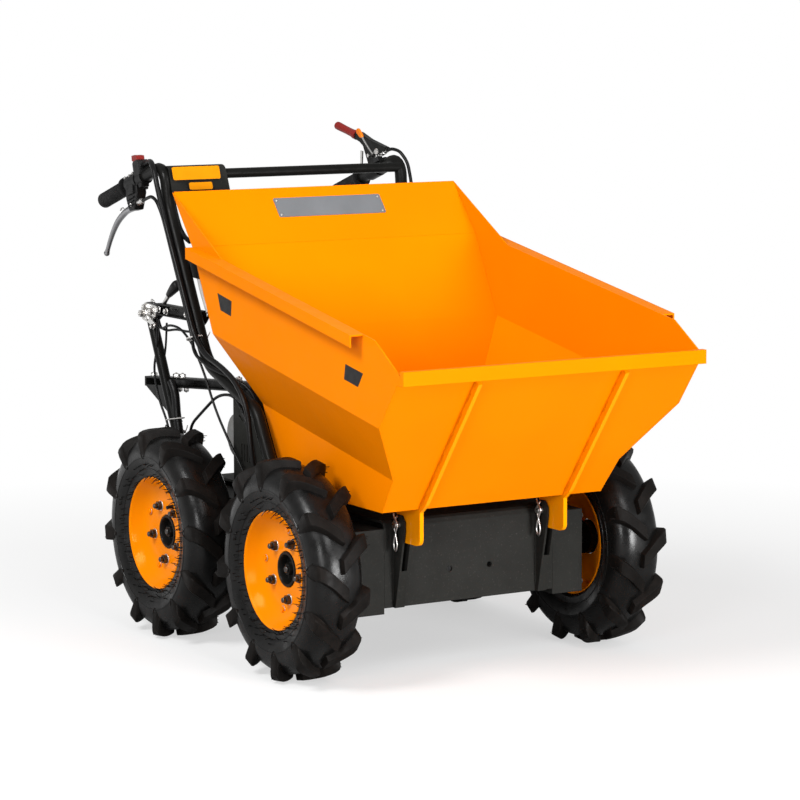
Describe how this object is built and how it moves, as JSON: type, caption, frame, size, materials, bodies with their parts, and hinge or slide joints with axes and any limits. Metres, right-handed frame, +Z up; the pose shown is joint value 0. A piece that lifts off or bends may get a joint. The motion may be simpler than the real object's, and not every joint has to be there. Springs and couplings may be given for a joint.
{
  "type": "walk-behind site dumper",
  "caption": "Walk-behind four-wheel site dumper with a forward-tipping open skip, rear handlebars and a small engine over lugged tyres.",
  "frame": {"origin": "on the ground below the middle of the machine's length and width, wheels standing on Z = 0", "axes": "+X forward, toward the skip's front lip; +Y to the machine's left, along the axles; +Z up"},
  "size_m": [1.28, 0.768, 0.991],
  "materials": {
    "black_paint": "satin black paint",
    "black_plastic": "matt moulded plastic",
    "black_rubber": "soft matt rubber",
    "dark_paint": "satin anthracite powder coat",
    "engine_alloy": "as cast",
    "orange_paint": "semi-gloss orange enamel",
    "tyre": "matt moulded rubber",
    "zinc_steel": "zinc-plated"
  },
  "bodies": {
    "chassis": {"air_cleaner": "black_paint", "belt_guard": "black_paint", "blower_housing": "black_paint", "brake_lever": "zinc_steel", "cable_brake": "black_rubber", "cable_clutch": "black_rubber", "cable_shift_arch": "black_rubber", "cable_shift_front": "black_rubber", "cable_shift_rear": "black_rubber", "cable_switch": "black_rubber", "chassis_pan": "dark_paint", "clutch_lever": "black_paint", "crossbar": "black_paint", "drive_case_left": "dark_paint", "drive_case_right": "dark_paint", "engine_block": "engine_alloy", "front_axle": "black_paint", "fuel_tank": "black_paint", "gearbox": "black_paint", "hand_grips": "black_rubber", "handle_tube_left": "black_paint", "handle_tube_right": "black_paint", "hinge_pins": "zinc_steel", "label_panel": "black_paint", "muffler": "engine_alloy", "rear_axle": "black_paint", "shift_lever": "black_plastic", "shift_post": "black_paint", "side_shelf": "black_paint", "skip_rests": "black_rubber", "stop_switch": "black_plastic", "throttle_lever": "black_plastic", "upper_stay": "black_paint"},
    "skip": {"skip_back": "orange_paint", "skip_floor": "orange_paint", "skip_front": "orange_paint", "skip_headboard": "orange_paint", "skip_ribs": "orange_paint", "skip_side_left": "orange_paint", "skip_side_right": "orange_paint"},
    "wheel_front_left": {"tyre_front_left": "tyre", "rim_front_left": "orange_paint", "hub_front_left": "black_paint"},
    "wheel_front_right": {"tyre_front_right": "tyre", "rim_front_right": "orange_paint", "hub_front_right": "black_paint"},
    "wheel_rear_left": {"tyre_rear_left": "tyre", "rim_rear_left": "orange_paint", "hub_rear_left": "black_paint"},
    "wheel_rear_right": {"tyre_rear_right": "tyre", "rim_rear_right": "orange_paint", "hub_rear_right": "black_paint"}
  },
  "joints": [
    {"name": "wheel_spin_front_left", "type": "hinge", "parent": "chassis", "child": "wheel_front_left", "pos_m": [0.2435, 0.329, 0.2075], "axis": [0, 1, 0], "continuous": true},
    {"name": "wheel_spin_front_right", "type": "hinge", "parent": "chassis", "child": "wheel_front_right", "pos_m": [0.2435, -0.329, 0.2075], "axis": [0, 1, 0], "continuous": true},
    {"name": "wheel_spin_rear_left", "type": "hinge", "parent": "chassis", "child": "wheel_rear_left", "pos_m": [-0.2435, 0.329, 0.2075], "axis": [0, 1, 0], "continuous": true},
    {"name": "wheel_spin_rear_right", "type": "hinge", "parent": "chassis", "child": "wheel_rear_right", "pos_m": [-0.2435, -0.329, 0.2075], "axis": [0, 1, 0], "continuous": true},
    {"name": "skip_tip", "type": "hinge", "parent": "chassis", "child": "skip", "pos_m": [0.362, 0, 0.293], "axis": [0, 1, 0], "range_deg": [0, 80]}
  ]
}
